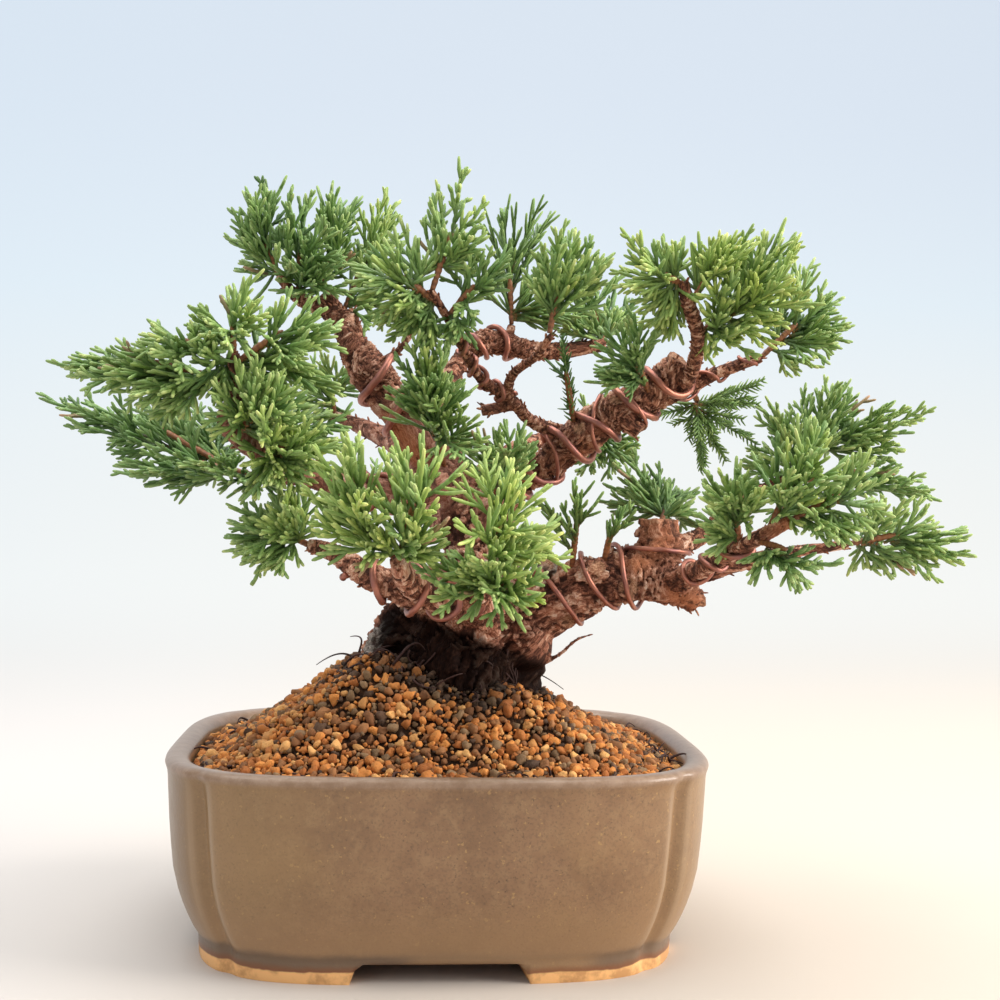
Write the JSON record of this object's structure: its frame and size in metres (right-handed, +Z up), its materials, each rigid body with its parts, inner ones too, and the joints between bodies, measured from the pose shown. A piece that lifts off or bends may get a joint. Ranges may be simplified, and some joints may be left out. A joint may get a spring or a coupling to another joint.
{
  "type": "bonsai tree in a pot",
  "caption": "Small juniper bonsai with wired limbs and pads of cord-like foliage, growing from heaped granular soil in a low glazed rectangular pot with feet.",
  "frame": {"origin": "on the surface that the pot stands on, under the middle of the whole part's box, 14.5 mm to the right of the pot's centre and 6 mm in front of it", "axes": "+Z up, +X to the right along the pot's long side, +Y to the back, the pot's front towards -Y"},
  "size_m": [0.243, 0.18, 0.201],
  "materials": {
    "glaze": "semi-gloss olive brown glaze with ochre flecks, feet unglazed",
    "screen": "moulded plastic mesh",
    "grains": "fired clay and pumice grains, orange to brown, some grey",
    "bark": "flaking red-brown bark with patches of pale grey dead wood",
    "wire": "coppery anodised, worn",
    "foliage": "green scale leaves with yellow-green tips"
  },
  "bodies": {
    "root": {"pot": "glaze", "drain_screen_left": "screen", "drain_screen_right": "screen", "soil": "grains", "wood": "bark", "wire_trunk": "wire", "wire_arm_b": "wire", "wire_arm_c": "wire", "wire_arm_d": "wire", "wire_arm_e": "wire", "wire_arm_f": "wire", "wire_arm_g": "wire", "wire_twig_e": "wire", "shoot_top_left_outer": "foliage", "shoot_top_left_inner": "foliage", "shoot_top_left_crown": "foliage", "shoot_top_right_crown": "foliage", "shoot_centre_spike": "foliage", "shoot_centre_left": "foliage", "shoot_centre_right": "foliage", "shoot_back_centre": "foliage", "shoot_back_far": "foliage", "shoot_front_centre": "foliage", "shoot_dark_sprig": "foliage", "shoot_right_top_left": "foliage", "shoot_right_top_mid": "foliage", "shoot_right_top_right": "foliage", "shoot_right_top_far": "foliage", "shoot_mid_right_sprig": "foliage", "shoot_left_upper_tip": "foliage", "shoot_left_upper_mid": "foliage", "shoot_left_upper_top": "foliage", "shoot_left_upper_right": "foliage", "shoot_left_mid": "foliage", "shoot_left_mid_low": "foliage", "shoot_left_front_up": "foliage", "shoot_left_front_low": "foliage", "shoot_trunk_back": "foliage", "shoot_low_left": "foliage", "shoot_front_left": "foliage", "shoot_front_mid": "foliage", "shoot_front_right": "foliage", "shoot_front_low": "foliage", "shoot_trunk_front": "foliage", "shoot_trunk_side": "foliage", "shoot_e_sprig": "foliage", "shoot_e_sprig_b": "foliage", "shoot_hanging_sprig": "foliage", "shoot_back_low": "foliage", "shoot_stub_sprig": "foliage", "shoot_right_mid_up": "foliage", "shoot_right_mid_low": "foliage", "shoot_right_front_in": "foliage", "shoot_right_front_up": "foliage", "shoot_right_front_tip": "foliage", "shoot_right_front_low": "foliage", "shoot_far_right": "foliage", "shoot_back_mid_left": "foliage", "shoot_back_mid_right": "foliage"}
  },
  "joints": []
}
